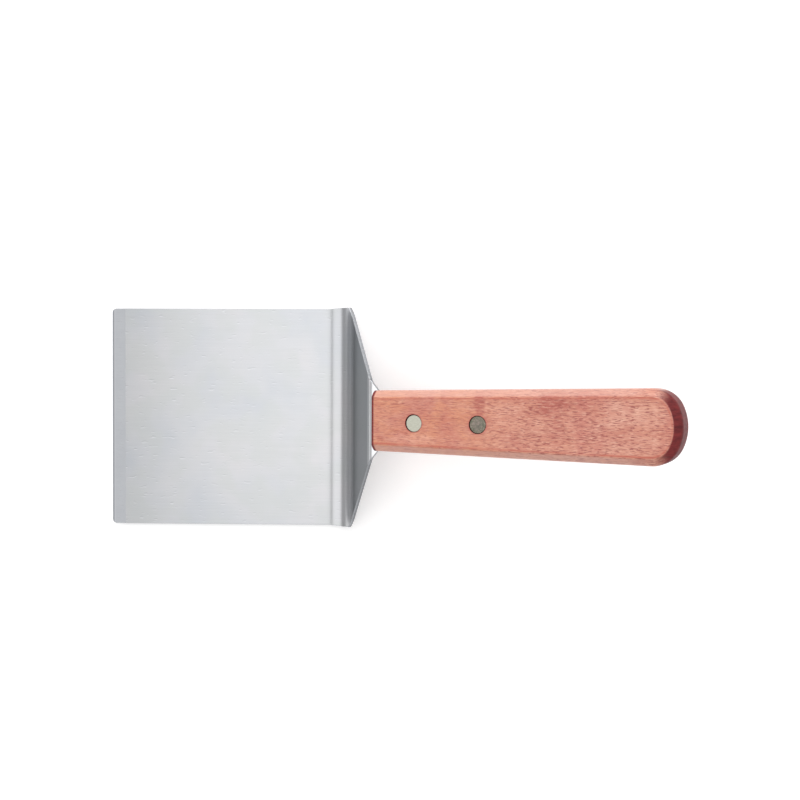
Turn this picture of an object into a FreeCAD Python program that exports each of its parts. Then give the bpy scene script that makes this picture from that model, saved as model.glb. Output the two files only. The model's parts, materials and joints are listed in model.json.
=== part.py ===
"""Offset bench scraper: a bent sheet-steel blade held in a slotted hardwood handle by two
two-piece compression rivets.

Millimetres. The origin is the middle of the flat blade's underside. +X points from the
cutting edge towards the handle's butt, +Y runs along the edge and +Z is up.
"""
import FreeCAD, Part
import math
import os

import Sketcher

Vector = FreeCAD.Vector
Rotation = FreeCAD.Rotation
Placement = FreeCAD.Placement

os.makedirs("parts", exist_ok=True)
doc = FreeCAD.newDocument("bench_scraper")

# ---------------------------------------------------------------- driving dimensions

SIZES = {
    # blade, as cut from the sheet
    "sheet": 1.5,
    "blade_length": 96.0,
    "blade_width": 95.25,
    "corner_round": 1.6,
    "bevel_length": 6.0,
    "edge_land": 0.35,
    "shoulder_flare": 0.5,
    "flare_length": 7.0,
    "blade_clear": 2.0,
    # the two bends and the riser between them
    "lower_bend": 12.0,
    "riser_tilt": 67.0,
    "upper_bend": 3.0,
    "shoulder_lead": 3.5,
    "neck_reach": 21.0,
    "neck_width": 35.8,
    # handle axis: where it starts and how it leans
    "front_x": 71.85,
    "front_z": 30.0,
    "handle_tilt": 23.0,
    # tang, measured from the handle's front end
    "tang_lead": 4.8,
    "tang_step": 3.7,
    "tang_width": 16.0,
    "tang_length": 62.0,
    "tang_flat": 1.5,
    # handle
    "handle_length": 126.6,
    "handle_thickness": 16.0,
    "front_width": 25.0,
    "butt_width": 29.2,
    "butt_depth": 11.8,
    "butt_corner": 11.0,
    "edge_bevel": 2.9,
    "bevel_blend": 2.4,
    "front_bevel": 0.5,
    "kerf": 1.6,
    "kerf_depth": 65.0,
    "saw_radius": 125.0,
    # rivets
    "rivet_first": 19.1,
    "rivet_second": 46.7,
    "rivet_drift": -0.5,
    "rivet_play": 0.1,
    "head_diameter": 6.85,
    "head_height": 1.6,
    "head_recess": 0.2,
    "head_edge": 0.15,
    "seat_diameter": 7.3,
    "tube_diameter": 4.8,
    "rivet_hole": 5.1,
    "pin_diameter": 3.2,
    "end_gap": 0.4,
    "wall_clear": 1.0,
}

sheet = doc.addObject("Spreadsheet::Sheet", "Sizes")
for row, (alias, value) in enumerate(SIZES.items(), start=1):
    sheet.set(f"A{row}", alias)
    sheet.set(f"B{row}", str(value))
    sheet.setAlias(f"B{row}", alias)
doc.recompute()

# ---------------------------------------------------------------- sketch helpers

START, END, CENTRE = 1, 2, 3
ORIGIN = (-1, 1)
X_AXIS = -1


def new_body(name):
    """An empty body whose label is also its node name."""
    body = doc.addObject("PartDesign::Body", name)
    body.Label = name
    return body


def new_sketch(body, name, plane="XY_Plane"):
    """A sketch on one of the body's own origin planes."""
    sketch = body.newObject("Sketcher::SketchObject", name)
    support = next(f for f in body.Origin.OriginFeatures if f.Role == plane)
    sketch.AttachmentSupport = [(support, "")]
    sketch.MapMode = "FlatFace"
    return sketch


def lean(target, path, base_x, base_z, tilt):
    """Place `target` at (base_x, 0, base_z), its X axis leaning up by `tilt` degrees."""
    setattr(target, path, Placement(Vector(), Rotation(Vector(0, -1, 0), 1)))
    target.setExpression(f"{path}.Base.x", base_x)
    target.setExpression(f"{path}.Base.z", base_z)
    target.setExpression(f"{path}.Rotation.Angle", tilt)


def dimension(sketch, expression, *constraint):
    """Add a dimensional constraint whose value follows an expression on the sheet."""
    value = sketch.evalExpression(expression)
    start = math.radians(value) if constraint[0] == "Angle" else value
    index = sketch.addConstraint(Sketcher.Constraint(*constraint, start))
    sketch.setExpression(f"Constraints[{index}]", expression)


def locate(sketch, geometry, end, x, y):
    """Fix a point by its distances from the sketch origin."""
    for kind, expression in (("DistanceX", x), ("DistanceY", y)):
        dimension(sketch, expression, kind, *ORIGIN, geometry, end)


def polygon(sketch, corners):
    """A closed outline of straight sides; each corner is a pair of expressions."""
    points = [Vector(sketch.evalExpression(x), sketch.evalExpression(y), 0) for x, y in corners]
    first = sketch.GeometryCount
    count = len(points)
    for index in range(count):
        side = Part.LineSegment(points[index], points[(index + 1) % count])
        sketch.addGeometry(side, False)
    for index in range(count):
        following = first + (index + 1) % count
        sketch.addConstraint(Sketcher.Constraint("Coincident", first + index, END, following, START))
    for index, (x, y) in enumerate(corners):
        locate(sketch, first + index, START, x, y)


def circle(sketch, diameter, x, y):
    """A circle of a given diameter about a located centre."""
    centre = Vector(sketch.evalExpression(x), sketch.evalExpression(y), 0)
    radius = sketch.evalExpression(diameter) / 2
    index = sketch.addGeometry(Part.Circle(centre, Vector(0, 0, 1), radius), False)
    dimension(sketch, diameter, "Diameter", index)
    locate(sketch, index, CENTRE, x, y)


def cut(body, sketch, name, depth=None, reverse=False):
    """A pocket: through everything both ways, or to a depth. It must remove material."""
    before = body.Shape.Volume
    pocket = body.newObject("PartDesign::Pocket", name)
    pocket.Profile = sketch
    if depth is None:
        pocket.Type = "ThroughAll"
        pocket.Midplane = True
    else:
        pocket.setExpression("Length", depth)
        pocket.Reversed = reverse
    doc.recompute()
    if not body.Shape.Volume < before:
        raise RuntimeError(f"{name} removes nothing")
    return pocket


def edges_where(shape, test):
    """Names of the edges whose every end passes the test."""
    names = []
    for index, edge in enumerate(shape.Edges, start=1):
        if all(test(vertex.Point) for vertex in edge.Vertexes):
            names.append(f"Edge{index}")
    return names


# ---------------------------------------------------------------- blade

def blade_profile(body):
    """Side outline of the bent sheet: flat blade, lower bend, riser, upper bend, tang."""
    sketch = new_sketch(body, "side_profile", "XZ_Plane")
    size = {alias: sketch.evalExpression(f"Sizes.{alias}") for alias in SIZES}
    riser = math.radians(size["riser_tilt"])
    tang = math.radians(size["handle_tilt"])
    along_riser = Vector(math.cos(riser), math.sin(riser), 0)
    along_tang = Vector(math.cos(tang), math.sin(tang), 0)
    out_of_riser = Vector(-math.sin(riser), math.cos(riser), 0)
    out_of_tang = Vector(-math.sin(tang), math.cos(tang), 0)
    half = size["blade_length"] / 2
    thick = size["sheet"]

    # centres of the two bends; the solver closes the last fraction of a millimetre
    lower = Vector(half, thick + size["lower_bend"], 0)
    rise_guess = size["neck_reach"] - size["upper_bend"] / 2
    upper_middle = size["upper_bend"] + thick / 2
    middle = lower - out_of_riser * (size["lower_bend"] + thick / 2) + along_riser * rise_guess
    upper = middle - out_of_riser * upper_middle
    tip = Vector(size["front_x"], size["front_z"], 0) + along_tang * size["tang_length"]
    inner, outer = size["lower_bend"], size["lower_bend"] + thick
    near, far = size["upper_bend"], size["upper_bend"] + thick
    riser_angle = math.pi / 2 + riser
    tang_angle = math.pi / 2 + tang

    edge_bottom = Vector(-half, 0, 0)
    edge_top = Vector(-half, thick, 0)
    flat_bottom_end = Vector(half, 0, 0)
    flat_top_end = Vector(half, thick, 0)

    def bend(centre, radius, start, stop):
        return Part.ArcOfCircle(Part.Circle(centre, Vector(0, 0, 1), radius), start, stop)

    down = -math.pi / 2
    shapes = [
        Part.LineSegment(edge_bottom, flat_bottom_end),
        bend(lower, outer, down, down + riser),
        Part.LineSegment(lower - out_of_riser * outer, upper + out_of_riser * near),
        bend(upper, near, tang_angle, riser_angle),
        Part.LineSegment(upper + out_of_tang * near, tip - out_of_tang * (thick / 2)),
        Part.LineSegment(tip - out_of_tang * (thick / 2), tip + out_of_tang * (thick / 2)),
        Part.LineSegment(tip + out_of_tang * (thick / 2), upper + out_of_tang * far),
        bend(upper, far, tang_angle, riser_angle),
        Part.LineSegment(upper + out_of_riser * far, lower - out_of_riser * inner),
        bend(lower, inner, down, down + riser),
        Part.LineSegment(flat_top_end, edge_top),
        Part.LineSegment(edge_top, edge_bottom),
    ]
    (bottom, bend_outer, riser_low, neck_near, tang_low, tang_end, tang_top, neck_far,
     riser_top, bend_inner, top, front) = range(len(shapes))
    sketch.addGeometry(shapes, False)

    tangent_joints = [
        (bottom, END, bend_outer, START),
        (bend_outer, END, riser_low, START),
        (riser_low, END, neck_near, END),
        (neck_near, START, tang_low, START),
        (tang_top, END, neck_far, START),
        (neck_far, END, riser_top, START),
        (riser_top, END, bend_inner, END),
        (bend_inner, START, top, START),
    ]
    plain_joints = [
        (tang_low, END, tang_end, START),
        (tang_end, END, tang_top, START),
        (top, END, front, START),
        (front, END, bottom, START),
        (bend_outer, CENTRE, bend_inner, CENTRE),
        (neck_near, CENTRE, neck_far, CENTRE),
    ]
    for joint in tangent_joints:
        sketch.addConstraint(Sketcher.Constraint("Tangent", *joint))
    for joint in plain_joints:
        sketch.addConstraint(Sketcher.Constraint("Coincident", *joint))
    sketch.addConstraint(Sketcher.Constraint("Vertical", front))
    sketch.addConstraint(Sketcher.Constraint("Horizontal", top))
    sketch.addConstraint(Sketcher.Constraint("Perpendicular", tang_end, tang_low))
    sketch.addConstraint(Sketcher.Constraint("Parallel", tang_top, tang_low))
    locate(sketch, bottom, START, "-Sizes.blade_length / 2", "0")
    locate(sketch, bottom, END, "Sizes.blade_length / 2", "0")
    dimension(sketch, "Sizes.sheet", "DistanceY", bottom, START, top, END)
    dimension(sketch, "Sizes.lower_bend", "Radius", bend_inner)
    dimension(sketch, "Sizes.upper_bend", "Radius", neck_near)
    dimension(sketch, "Sizes.upper_bend + Sizes.sheet", "Radius", neck_far)
    dimension(sketch, "Sizes.riser_tilt", "Angle", X_AXIS, START, riser_low, START)
    dimension(sketch, "Sizes.handle_tilt", "Angle", X_AXIS, START, tang_low, START)
    half_sheet_x = "Sizes.sheet / 2 * sin(Sizes.handle_tilt)"
    half_sheet_z = "Sizes.sheet / 2 * cos(Sizes.handle_tilt)"
    locate(sketch, tang_low, END,
           f"Sizes.front_x + Sizes.tang_length * cos(Sizes.handle_tilt) + {half_sheet_x}",
           f"Sizes.front_z + Sizes.tang_length * sin(Sizes.handle_tilt) - {half_sheet_z}")
    return sketch


def both_sides(sketch, corners):
    """The same outline on the +Y and the -Y side; corners are written for the +Y side."""
    for sign in ("1", "-1"):
        polygon(sketch, [(x, f"{sign} * ({y})") for x, y in corners])


def trim_blade_sides(body):
    """Bring the flat blade to width and leave the shoulder corners standing proud."""
    sketch = new_sketch(body, "side_trims")
    side = "Sizes.blade_width / 2"
    proud = "Sizes.blade_width / 2 + Sizes.shoulder_flare"
    outside = "Sizes.blade_width / 2 + Sizes.shoulder_flare + Sizes.blade_clear"
    before_edge = "-Sizes.blade_length / 2 - Sizes.blade_clear"
    flare_end = "Sizes.blade_length / 2 + Sizes.flare_length"
    both_sides(sketch, [
        (before_edge, side),
        ("Sizes.blade_length / 2", side),
        (flare_end, proud),
        (flare_end, outside),
        (before_edge, outside),
    ])
    cut(body, sketch, "side_trim")


def round_front_corners(body):
    """Round the two upright corners at the ends of the cutting edge."""
    front = -SIZES["blade_length"] / 2
    base = body.Tip
    corners = edges_where(body.Shape, lambda p: abs(p.x - front) < 0.01)
    upright = [name for name in corners
               if abs(body.Shape.getElement(name).Length - SIZES["sheet"]) < 0.01]
    fillet = body.newObject("PartDesign::Fillet", "front_corners")
    fillet.Base = (base, upright)
    fillet.setExpression("Radius", "Sizes.corner_round")
    doc.recompute()


def grind_bevel(body):
    """Grind the top of the cutting edge down to its narrow land."""
    sketch = new_sketch(body, "bevel_profile", "XZ_Plane")
    edge = "-Sizes.blade_length / 2"
    slope = "(Sizes.sheet - Sizes.edge_land) / Sizes.bevel_length"
    polygon(sketch, [
        (f"{edge} - Sizes.blade_clear", f"Sizes.edge_land - Sizes.blade_clear * {slope}"),
        (f"{edge} + Sizes.bevel_length + Sizes.blade_clear",
         f"Sizes.sheet + Sizes.blade_clear * {slope}"),
        (f"{edge} - Sizes.blade_clear", f"Sizes.sheet + Sizes.blade_clear * {slope}"),
    ])
    cut(body, sketch, "edge_grind")


def cut_shoulders(body):
    """Taper the riser from the shoulder corners to the neck, square to the riser."""
    sketch = new_sketch(body, "shoulder_outline")
    lean(sketch, "AttachmentOffset", "Sizes.blade_length / 2",
         "Sizes.sheet + Sizes.lower_bend", "Sizes.riser_tilt")
    proud = "Sizes.blade_width / 2 + Sizes.shoulder_flare"
    taper = f"({proud} - Sizes.neck_width / 2) / (Sizes.neck_reach + Sizes.shoulder_lead)"
    beyond = "Sizes.neck_reach + Sizes.blade_clear"
    both_sides(sketch, [
        ("-Sizes.shoulder_lead", proud),
        (beyond, f"Sizes.neck_width / 2 - Sizes.blade_clear * {taper}"),
        (beyond, f"{proud} + Sizes.blade_clear"),
        ("-Sizes.shoulder_lead", f"{proud} + Sizes.blade_clear"),
    ])
    cut(body, sketch, "shoulders")


def cut_tang(body):
    """Narrow the sheet from the neck to the tang and round the tang's end."""
    sketch = new_sketch(body, "tang_outline")
    lean(sketch, "AttachmentOffset", "Sizes.front_x", "Sizes.front_z", "Sizes.handle_tilt")
    outside = "Sizes.blade_width / 2 + Sizes.blade_clear"
    tip = "Sizes.tang_length + Sizes.blade_clear"
    both_sides(sketch, [
        ("-Sizes.tang_lead", "Sizes.neck_width / 2"),
        ("Sizes.tang_step", "Sizes.tang_width / 2"),
        (tip, "Sizes.tang_width / 2"),
        (tip, outside),
        ("-Sizes.tang_lead", outside),
    ])
    cut(body, sketch, "tang_sides")

    tang_end = Vector(SIZES["front_x"], 0, SIZES["front_z"])
    lean_angle = math.radians(SIZES["handle_tilt"])
    along = Vector(math.cos(lean_angle), 0, math.sin(lean_angle))
    tang_end += along * SIZES["tang_length"]
    base = body.Tip
    corners = edges_where(body.Shape, lambda p: abs((p - tang_end).dot(along)) < 0.01)
    upright = [name for name in corners
               if abs(body.Shape.getElement(name).Length - SIZES["sheet"]) < 0.01]
    fillet = body.newObject("PartDesign::Fillet", "tang_end")
    fillet.Base = (base, upright)
    fillet.setExpression("Radius", "Sizes.tang_width / 2 - Sizes.tang_flat")
    doc.recompute()


def drill_tang(body):
    """Two rivet holes through the tang, square to it."""
    sketch = new_sketch(body, "tang_holes")
    lean(sketch, "AttachmentOffset", "Sizes.front_x", "Sizes.front_z", "Sizes.handle_tilt")
    for place in ("Sizes.rivet_first", "Sizes.rivet_second"):
        circle(sketch, "Sizes.rivet_hole", place, "Sizes.rivet_drift")
    cut(body, sketch, "tang_drilling")


def make_blade():
    """One piece of sheet steel: blade, riser and tang."""
    body = new_body("blade")
    profile = blade_profile(body)
    strip = body.newObject("PartDesign::Pad", "bent_strip")
    strip.Profile = profile
    strip.setExpression("Length", "Sizes.blade_width + 2 * Sizes.shoulder_flare")
    strip.Midplane = True
    doc.recompute()
    trim_blade_sides(body)
    round_front_corners(body)
    grind_bevel(body)
    cut_shoulders(body)
    cut_tang(body)
    drill_tang(body)
    return body


# ---------------------------------------------------------------- handle

def handle_outline(body):
    """Plan of the handle: straight widening sides and a butt of three tangent arcs."""
    sketch = new_sketch(body, "handle_outline")
    side_end = SIZES["handle_length"] - SIZES["butt_depth"]
    corner = SIZES["butt_corner"]
    front, back = SIZES["front_width"] / 2, SIZES["butt_width"] / 2
    rise = back - corner
    # the end arc touches both corner arcs from outside them
    rise_text = "(Sizes.butt_width / 2 - Sizes.butt_corner)"
    end_text = (f"(Sizes.butt_depth ^ 2 + {rise_text} ^ 2 - Sizes.butt_corner ^ 2)"
                " / (2 * (Sizes.butt_depth - Sizes.butt_corner))")
    end_radius = sketch.evalExpression(end_text)
    end_centre = Vector(SIZES["handle_length"] - end_radius, 0, 0)
    reach = math.atan2(rise, side_end - end_centre.x)
    lean_out = math.atan2(back - front, side_end)

    def swing(centre, radius, start, stop):
        return Part.ArcOfCircle(Part.Circle(centre, Vector(0, 0, 1), radius), start, stop)

    quarter = math.pi / 2
    shapes = [
        Part.LineSegment(Vector(0, -front, 0), Vector(side_end, -back, 0)),
        swing(Vector(side_end, -rise, 0), corner, -quarter - lean_out, -reach),
        swing(end_centre, end_radius, -reach, reach),
        swing(Vector(side_end, rise, 0), corner, reach, quarter + lean_out),
        Part.LineSegment(Vector(side_end, back, 0), Vector(0, front, 0)),
        Part.LineSegment(Vector(0, front, 0), Vector(0, -front, 0)),
    ]
    right, right_corner, end, left_corner, left, nose = range(len(shapes))
    sketch.addGeometry(shapes, False)
    round_trip = [right, right_corner, end, left_corner, left, nose]
    for index, geometry in enumerate(round_trip):
        following = round_trip[(index + 1) % len(round_trip)]
        kind = "Coincident" if nose in (geometry, following) else "Tangent"
        sketch.addConstraint(Sketcher.Constraint(kind, geometry, END, following, START))
    side_text = "Sizes.handle_length - Sizes.butt_depth"
    locate(sketch, nose, START, "0", "Sizes.front_width / 2")
    locate(sketch, nose, END, "0", "-Sizes.front_width / 2")
    locate(sketch, left_corner, CENTRE, side_text, rise_text)
    locate(sketch, right_corner, CENTRE, side_text, f"-{rise_text}")
    dimension(sketch, "Sizes.butt_corner", "Radius", left_corner)
    dimension(sketch, "Sizes.butt_corner", "Radius", right_corner)
    dimension(sketch, end_text, "Radius", end)
    return sketch


def dress(body, kind, name, edges, size):
    """A chamfer or a fillet on the body's present shape."""
    base = body.Tip
    feature = body.newObject(f"PartDesign::{kind}", name)
    feature.Base = (base, edges)
    feature.setExpression("Radius" if kind == "Fillet" else "Size", size)
    doc.recompute()


def bevel_handle_edges(body):
    """Bevel both faces along the sides and butt, soften the bevels, break the front edges."""
    half = SIZES["handle_thickness"] / 2
    lower = half - SIZES["edge_bevel"]

    def at_height(height):
        return lambda p: abs(abs(p.z) - height) < 0.01

    def not_front(names):
        keep = []
        for name in names:
            edge = body.Shape.getElement(name)
            if max(vertex.X for vertex in edge.Vertexes) > 1:
                keep.append(name)
        return keep

    rims = not_front(edges_where(body.Shape, at_height(half)))
    dress(body, "Chamfer", "long_bevels", rims, "Sizes.edge_bevel")
    walls = not_front(edges_where(body.Shape, at_height(lower)))
    dress(body, "Fillet", "bevel_blends", walls, "Sizes.bevel_blend")
    nose = edges_where(body.Shape, lambda p: abs(p.x) < 0.01)
    dress(body, "Chamfer", "front_break", nose, "Sizes.front_bevel")


def saw_kerf(body):
    """Slot for the tang, sawn in from the front end by a round blade."""
    sketch = new_sketch(body, "kerf_outline")
    reach = SIZES["kerf_depth"]
    half = SIZES["butt_width"] / 2 + SIZES["wall_clear"]
    radius = SIZES["saw_radius"]
    centre_x = reach - radius
    swing = math.asin(half / radius)
    corner_x = centre_x + radius * math.cos(swing)
    front = -SIZES["wall_clear"]
    shapes = [
        Part.LineSegment(Vector(front, -half, 0), Vector(corner_x, -half, 0)),
        Part.ArcOfCircle(Part.Circle(Vector(centre_x, 0, 0), Vector(0, 0, 1), radius),
                         -swing, swing),
        Part.LineSegment(Vector(corner_x, half, 0), Vector(front, half, 0)),
        Part.LineSegment(Vector(front, half, 0), Vector(front, -half, 0)),
    ]
    right, saw, left, mouth = range(len(shapes))
    sketch.addGeometry(shapes, False)
    for first, second in ((right, saw), (saw, left), (left, mouth), (mouth, right)):
        sketch.addConstraint(Sketcher.Constraint("Coincident", first, END, second, START))
    half_text = "Sizes.butt_width / 2 + Sizes.wall_clear"
    locate(sketch, mouth, START, "-Sizes.wall_clear", half_text)
    locate(sketch, mouth, END, "-Sizes.wall_clear", f"-({half_text})")
    sketch.addConstraint(Sketcher.Constraint("Horizontal", right))
    sketch.addConstraint(Sketcher.Constraint("Horizontal", left))
    locate(sketch, saw, CENTRE, "Sizes.kerf_depth - Sizes.saw_radius", "0")
    dimension(sketch, "Sizes.saw_radius", "Radius", saw)
    slot = body.newObject("PartDesign::Pocket", "kerf")
    slot.Profile = sketch
    slot.setExpression("Length", "Sizes.kerf")
    slot.Midplane = True
    before = body.Shape.Volume
    doc.recompute()
    if not body.Shape.Volume < before:
        raise RuntimeError("kerf removes nothing")


def drill_handle(body):
    """Rivet holes right through, each with a flat-bottomed head seat on both faces."""
    places = ("Sizes.rivet_first", "Sizes.rivet_second")
    holes = new_sketch(body, "rivet_holes")
    for place in places:
        circle(holes, "Sizes.rivet_hole", place, "Sizes.rivet_drift")
    cut(body, holes, "rivet_drilling")
    face = "Sizes.handle_thickness / 2"
    for name, height, reverse in (("top_seats", face, False), ("under_seats", f"-{face}", True)):
        seats = new_sketch(body, name)
        seats.setExpression("AttachmentOffset.Base.z", height)
        for place in places:
            circle(seats, "Sizes.seat_diameter", place, "Sizes.rivet_drift")
        cut(body, seats, f"{name}_cut", "Sizes.head_height + Sizes.head_recess", reverse)


def make_handle():
    """One piece of hardwood, sawn to take the tang."""
    body = new_body("handle")
    outline = handle_outline(body)
    blank = body.newObject("PartDesign::Pad", "handle_blank")
    blank.Profile = outline
    blank.setExpression("Length", "Sizes.handle_thickness")
    blank.Midplane = True
    doc.recompute()
    bevel_handle_edges(body)
    saw_kerf(body)
    drill_handle(body)
    lean(body, "Placement", "Sizes.front_x", "Sizes.front_z", "Sizes.handle_tilt")
    return body


# ---------------------------------------------------------------- rivets

HEAD_TOP = "(Sizes.handle_thickness / 2 - Sizes.head_recess)"
HEAD_SEAT = f"({HEAD_TOP} - Sizes.head_height)"
HEAD_RADIUS = "Sizes.head_diameter / 2"
HEAD_ROOF = [
    (HEAD_RADIUS, HEAD_SEAT),
    (HEAD_RADIUS, f"{HEAD_TOP} - Sizes.head_edge"),
    (f"{HEAD_RADIUS} - Sizes.head_edge", HEAD_TOP),
    ("0", HEAD_TOP),
]
# the hollow half stops just short of the solid half's head
SOCKET_HALF = HEAD_ROOF + [
    ("0", HEAD_SEAT),
    ("Sizes.pin_diameter / 2", HEAD_SEAT),
    ("Sizes.pin_diameter / 2", f"Sizes.end_gap - {HEAD_SEAT}"),
    ("Sizes.tube_diameter / 2", f"Sizes.end_gap - {HEAD_SEAT}"),
    ("Sizes.tube_diameter / 2", HEAD_SEAT),
]
PIN_HALF = HEAD_ROOF + [
    ("0", f"Sizes.end_gap - {HEAD_SEAT}"),
    ("Sizes.pin_diameter / 2", f"Sizes.end_gap - {HEAD_SEAT}"),
    ("Sizes.pin_diameter / 2", HEAD_SEAT),
]


def make_rivet_half(name, half_profile, place, play, underside):
    """One turned half of a compression rivet, set square to the handle's faces."""
    body = new_body(name)
    sketch = new_sketch(body, f"{name}_profile", "XZ_Plane")
    polygon(sketch, half_profile)
    turned = body.newObject("PartDesign::Revolution", f"{name}_turned")
    turned.Profile = sketch
    turned.ReferenceAxis = (sketch, ["V_Axis"])
    turned.Angle = 360
    doc.recompute()
    lean_text = "Sizes.handle_tilt"
    along = f"({place} + {play})"
    body.Placement = Placement(Vector(), Rotation(Vector(0, -1, 0), 1))
    body.setExpression("Placement.Base.x", f"Sizes.front_x + {along} * cos({lean_text})")
    body.setExpression("Placement.Base.y", f"Sizes.rivet_drift - {play}")
    body.setExpression("Placement.Base.z", f"Sizes.front_z + {along} * sin({lean_text})")
    turn = f"180 + {lean_text}" if underside else lean_text
    body.setExpression("Placement.Rotation.Angle", turn)
    return body


def make_rivets():
    """Front rivet off centre in its seats by the play; rear rivet centred."""
    bodies = []
    for row, place, play in (("front", "Sizes.rivet_first", "Sizes.rivet_play"),
                             ("rear", "Sizes.rivet_second", "0")):
        socket = make_rivet_half(f"{row}_rivet_socket", SOCKET_HALF, place, play, False)
        pin = make_rivet_half(f"{row}_rivet_pin", PIN_HALF, place, play, True)
        bodies += [socket, pin]
    return bodies


# ---------------------------------------------------------------- build and write

def check_document():
    """Stop on any failed feature and on any sketch that its dimensions leave loose."""
    for item in doc.Objects:
        if "Invalid" in item.State or "Error" in item.State:
            raise RuntimeError(f"{item.Name} failed: {item.State}")
        if item.isDerivedFrom("Sketcher::SketchObject") and not item.FullyConstrained:
            raise RuntimeError(f"{item.Name} is not fully constrained")


def write_parts(bodies):
    """Write each sub-part's solid under its own name."""
    for body in bodies:
        shape = body.Shape
        if shape.isNull() or not shape.isValid() or len(shape.Solids) != 1:
            raise RuntimeError(f"{body.Label} is not one valid solid")
        print(f"{body.Label}: {shape.Volume:.1f} mm3, box {shape.BoundBox}")
    for body in bodies:
        body.Shape.exportStep(f"parts/{body.Label}.step")


sub_parts = [make_blade(), make_handle()] + make_rivets()
doc.recompute()
check_document()
write_parts(sub_parts)
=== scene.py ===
"""Finished look of the offset bench scraper: brushed sheet steel, reddish hardwood and two rivets.

Metres, in the CAD frame: the origin is the middle of the flat blade's underside, +X points
towards the handle's butt, +Y runs along the cutting edge and +Z is up.
"""
import json
import math

import bmesh
import bpy
from mathutils import Euler, Matrix, Vector


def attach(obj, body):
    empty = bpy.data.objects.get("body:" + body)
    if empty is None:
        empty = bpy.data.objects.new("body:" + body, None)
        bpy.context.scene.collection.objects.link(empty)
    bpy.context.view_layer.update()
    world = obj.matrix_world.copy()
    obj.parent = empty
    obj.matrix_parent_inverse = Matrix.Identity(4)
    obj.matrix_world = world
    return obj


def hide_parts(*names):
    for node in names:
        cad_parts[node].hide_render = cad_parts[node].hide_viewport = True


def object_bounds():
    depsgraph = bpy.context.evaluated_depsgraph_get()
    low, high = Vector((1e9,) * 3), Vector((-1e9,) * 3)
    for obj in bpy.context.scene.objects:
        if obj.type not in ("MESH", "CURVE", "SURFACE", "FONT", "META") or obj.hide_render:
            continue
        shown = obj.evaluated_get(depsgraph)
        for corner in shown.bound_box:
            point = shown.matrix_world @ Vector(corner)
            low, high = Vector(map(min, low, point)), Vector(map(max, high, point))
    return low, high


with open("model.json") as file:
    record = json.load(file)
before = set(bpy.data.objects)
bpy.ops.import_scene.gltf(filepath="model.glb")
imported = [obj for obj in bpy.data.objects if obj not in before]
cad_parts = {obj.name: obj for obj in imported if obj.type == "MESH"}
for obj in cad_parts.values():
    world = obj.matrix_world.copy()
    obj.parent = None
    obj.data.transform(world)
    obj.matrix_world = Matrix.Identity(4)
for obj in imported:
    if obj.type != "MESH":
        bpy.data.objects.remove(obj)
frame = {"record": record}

CAD_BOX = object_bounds()
MM = 0.001
BODY = "root"

# ---------------------------------------------------------------- sizes

SHEET = 1.5 * MM
BLADE_WIDTH = 95.25 * MM
CORNER_ROUND = 1.6 * MM
BEVEL_LENGTH = 6.0 * MM
EDGE_LAND = 0.35 * MM
SHOULDER_FLARE = 0.5 * MM
FLARE_LENGTH = 7.0 * MM
LOWER_BEND = 12.0 * MM
RISER_TILT = math.radians(67.0)
UPPER_BEND = 3.0 * MM
SHOULDER_LEAD = 3.5 * MM
NECK_REACH = 21.0 * MM
NECK_WIDTH = 35.8 * MM
TANG_LEAD = 4.8 * MM
TANG_STEP = 3.7 * MM
TANG_WIDTH = 16.0 * MM
TANG_LENGTH = 62.0 * MM
TANG_ROUND = 6.5 * MM
EDGE_BREAK = 0.12 * MM
BEND_EASE = 2.0 * MM

HANDLE_LENGTH = 126.6 * MM
HANDLE_THICKNESS = 16.0 * MM
FRONT_WIDTH = 25.0 * MM
BUTT_WIDTH = 29.2 * MM
BUTT_DEPTH = 11.8 * MM
BUTT_CORNER = 11.0 * MM
EDGE_BEVEL = 2.9 * MM
BEVEL_BLEND = 2.4 * MM
CREASE_WEAR = 1.2 * MM
FRONT_BEVEL = 0.5 * MM
SIDE_BREAK = 0.2 * MM
KERF = 1.6 * MM
KERF_DEPTH = 65.0 * MM
SAW_RADIUS = 125.0 * MM

RIVET_PLACES = {"front": 19.1 * MM, "rear": 46.7 * MM}
RIVET_DRIFT = -0.5 * MM
RIVET_PLAY = 0.1 * MM
RIVET_HOLE = 5.1 * MM
SEAT_DIAMETER = 7.3 * MM
HEAD_DIAMETER = 6.85 * MM
HEAD_HEIGHT = 1.6 * MM
HEAD_RECESS = 0.2 * MM
HEAD_ROLL = 0.22 * MM
HEAD_CROWN = 0.06 * MM
TUBE_DIAMETER = 4.8 * MM
PIN_DIAMETER = 3.2 * MM
PIN_CHAMFER = 0.2 * MM
END_GAP = 0.4 * MM

# patches in the wood's figure, in millimetres along and across the handle's top face:
# x, y, half length, half width, strength
DARK_PATCHES = (
    (47.5, 7.5, 3.0, 5.0, 0.90),
    (77.0, 8.0, 7.0, 6.0, 0.85),
    (79.0, -1.5, 6.0, 6.0, 0.50),
    (104.0, -4.0, 9.0, 5.0, 0.25),
    (6.0, -7.5, 3.5, 2.5, 0.40),
    (30.0, -3.0, 4.0, 4.0, 0.25),
    (62.0, -6.5, 6.0, 3.0, 0.30),
)
PALE_PATCHES = (
    (21.0, -7.0, 15.0, 3.0, 0.45),
    (59.0, 4.0, 8.0, 5.0, 0.45),
)

FLOOR_HALF = 3.0
FLOOR_DROP = 0.5 * MM
WORLD_STRENGTH = 0.50
LAMP_DISTANCE = 1.3

CAMERA_DISTANCE = 519 * MM
CAMERA_AIM = Vector((79.7 * MM, 7.7 * MM, 0))
CAMERA_TURN = Euler((-0.0263, 0.0265, 0.0043))
CAMERA_LENS = 52.83
CAMERA_SENSOR = 36


def mount(name):
    """Position and unit axis of one of the record's mounts."""
    found = next(m for m in frame["record"]["mounts"] if m["name"] == name)
    return Vector(found["pos_m"]), Vector(found["axis"]).normalized()


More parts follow.
